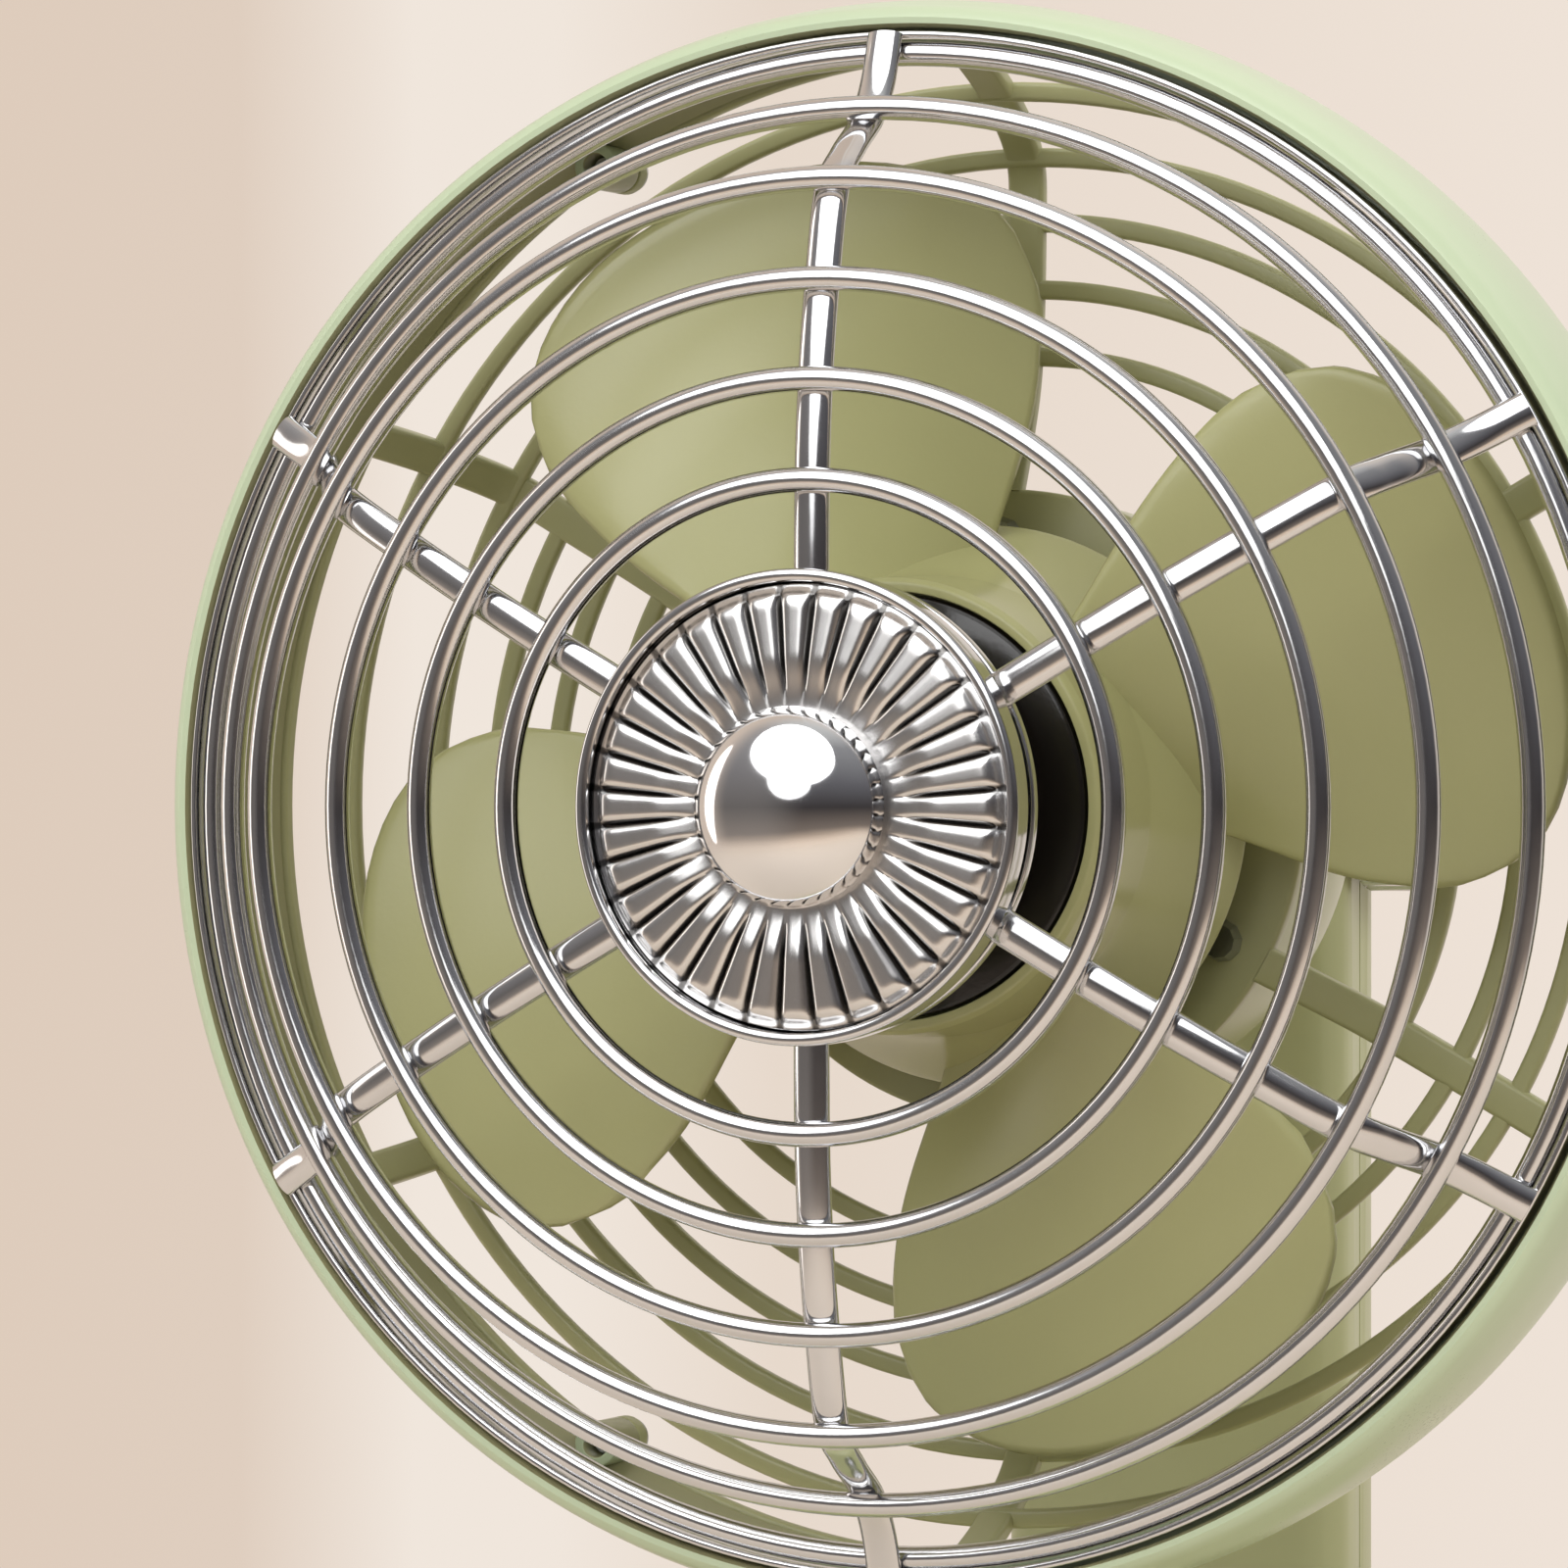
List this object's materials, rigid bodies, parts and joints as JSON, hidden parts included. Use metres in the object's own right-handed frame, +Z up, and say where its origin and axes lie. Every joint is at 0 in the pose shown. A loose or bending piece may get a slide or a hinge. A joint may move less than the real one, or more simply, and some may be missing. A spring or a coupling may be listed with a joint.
{
  "type": "desk fan",
  "caption": "Small desk fan: domed chrome wire guard with a fluted round badge, pale green head on a tilting slab pillar, round weighted base with a speed knob.",
  "frame": {"origin": "middle of the foot pad's underside, on the table", "axes": "+Z up; the fan blows towards -Y; the tilt axis and the pillar's width lie along X"},
  "size_m": [0.1852, 0.1694, 0.2426],
  "materials": {
    "green_shell": "pale sage green, satin gloss",
    "green_blade": "sage green, satin",
    "chrome_plate": "polished",
    "zinc_steel": "zinc plated",
    "black_plastic": "gloss black",
    "foot_rubber": "matte",
    "iron": "rough",
    "winding": "varnished copper wire",
    "board": "solder mask",
    "lamp": "milky light guide"
  },
  "bodies": {
    "stand": {"foot_pad": "foot_rubber", "base_floor": "zinc_steel", "base_shell": "green_shell", "base_screw_1": "zinc_steel", "base_screw_2": "zinc_steel", "base_screw_3": "zinc_steel", "ballast": "iron", "circuit_board": "board", "power_socket": "black_plastic", "speed_switch": "black_plastic", "switch_nut": "zinc_steel", "dial_ring": "chrome_plate", "indicator_lamp": "lamp", "pillar_front_shell": "green_shell", "pillar_rear_shell": "green_shell", "pillar_screw_1": "zinc_steel", "pillar_screw_2": "zinc_steel", "tilt_pin": "zinc_steel", "friction_washer_left": "zinc_steel", "friction_washer_right": "zinc_steel"},
    "head": {"front_guard": "chrome_plate", "badge_bezel": "chrome_plate", "badge_fluted_disc": "chrome_plate", "badge_dome": "chrome_plate", "badge_nut": "zinc_steel", "head_ring": "green_shell", "rear_grille": "green_shell", "grille_screw_1": "zinc_steel", "grille_screw_2": "zinc_steel", "grille_screw_3": "zinc_steel", "motor_front_bracket": "zinc_steel", "front_bearing": "zinc_steel", "stator": "winding", "motor_rear_bracket": "zinc_steel", "rear_bearing": "zinc_steel", "motor_screw_1": "zinc_steel", "motor_screw_2": "zinc_steel", "motor_screw_3": "zinc_steel", "motor_pod": "green_shell", "pod_screw_1": "zinc_steel", "pod_screw_2": "zinc_steel", "pod_screw_3": "zinc_steel"},
    "spinner": {"impeller": "green_blade", "hub_cap": "black_plastic", "impeller_nut": "zinc_steel", "motor_shaft": "zinc_steel", "rotor": "iron"},
    "tilt_lock": {"tilt_knob": "chrome_plate"},
    "speed_control": {"speed_knob": "chrome_plate", "speed_shaft": "zinc_steel"}
  },
  "joints": [
    {"name": "head_tilt", "type": "hinge", "parent": "stand", "child": "head", "pos_m": [0, 0.046, 0.15], "axis": [-1, 0, 0], "range_deg": [-12, 30]},
    {"name": "impeller_spin", "type": "hinge", "parent": "head", "child": "spinner", "pos_m": [0, -0.035, 0.15], "axis": [0, 1, 0], "continuous": true},
    {"name": "tilt_knob_turn", "type": "hinge", "parent": "stand", "child": "tilt_lock", "pos_m": [0.0275, 0.046, 0.15], "axis": [1, 0, 0], "range_deg": [0, 180]},
    {"name": "speed_knob_turn", "type": "hinge", "parent": "stand", "child": "speed_control", "pos_m": [0, -0.044, 0.03], "axis": [0, 0, -1], "range_deg": [0, 135]}
  ]
}
